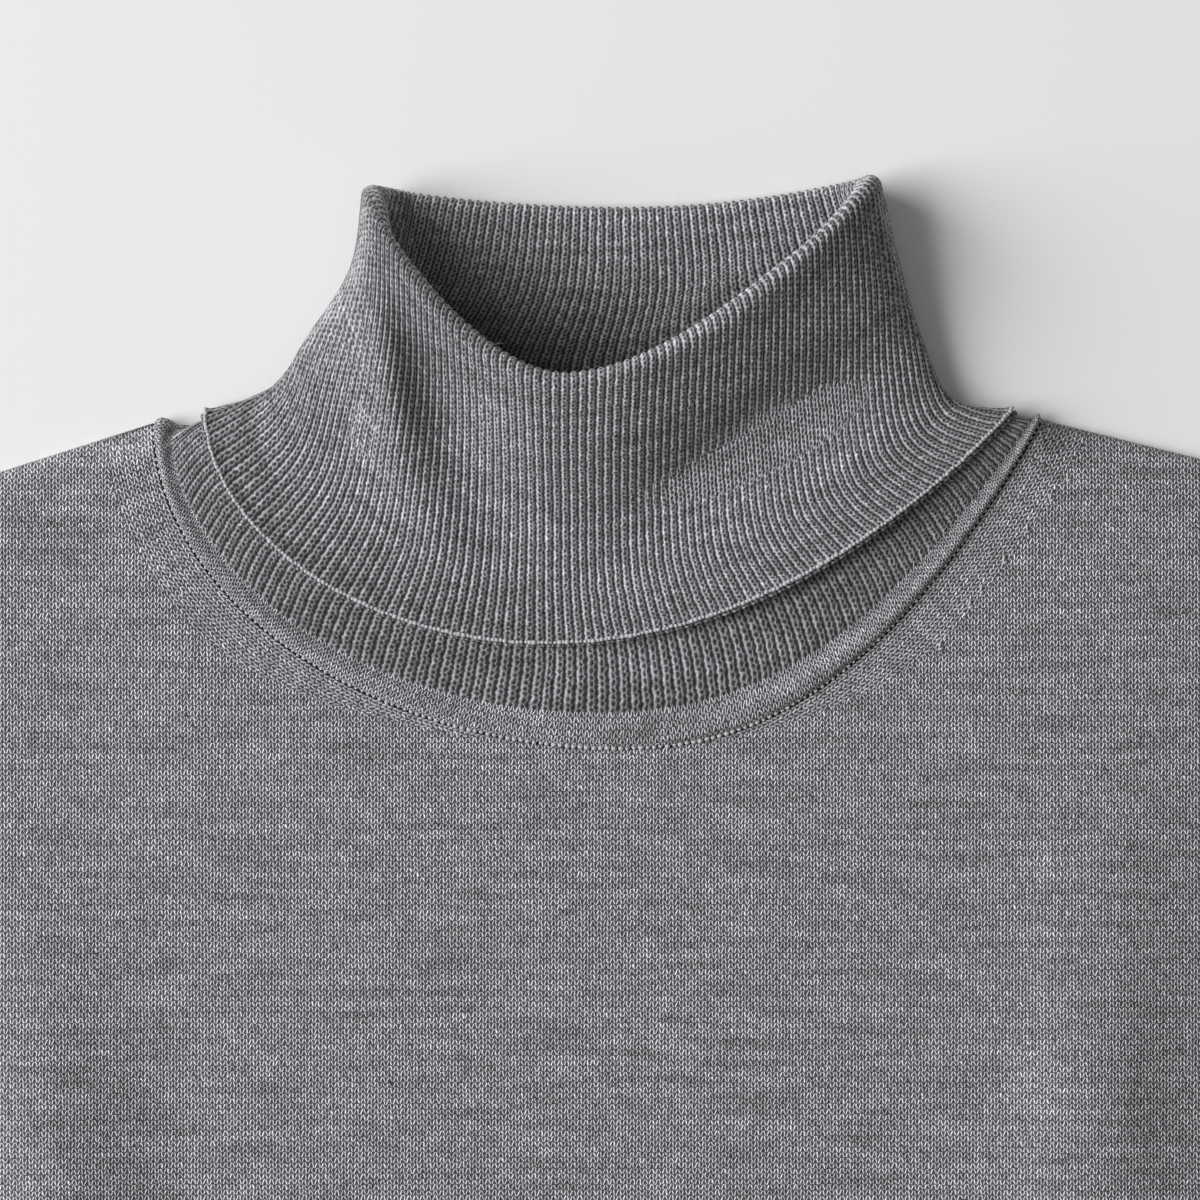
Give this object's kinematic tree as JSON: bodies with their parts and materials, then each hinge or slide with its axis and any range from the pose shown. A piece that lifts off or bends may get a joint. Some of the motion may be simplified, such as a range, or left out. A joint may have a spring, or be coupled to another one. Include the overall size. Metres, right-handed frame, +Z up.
{
  "type": "turtleneck sweater",
  "caption": "Long-sleeved knitted pullover laid flat, with a high ribbed collar turned down once, ribbed cuffs and a ribbed hem.",
  "frame": {"origin": "middle of the whole garment's box on the surface that it lies on", "axes": "+X towards the sleeve on the right of the picture, +Y towards the collar, +Z up off the surface"},
  "size_m": [1.2928, 0.718, 0.0333],
  "materials": {
    "jersey": "fine wool jersey in heathered mid grey, matt with a soft nap",
    "rib": "fine wool one by one rib in heathered mid grey, matt",
    "collar_rib": "fine wool one by one rib in heathered mid grey, matt, with a plain band at its base"
  },
  "bodies": {
    "root": {"back": "jersey", "front": "jersey", "back_hem_rib": "rib", "front_hem_rib": "rib", "sleeve_left": "jersey", "sleeve_right": "jersey", "cuff_left": "rib", "cuff_right": "rib", "collar": "collar_rib"}
  },
  "joints": []
}
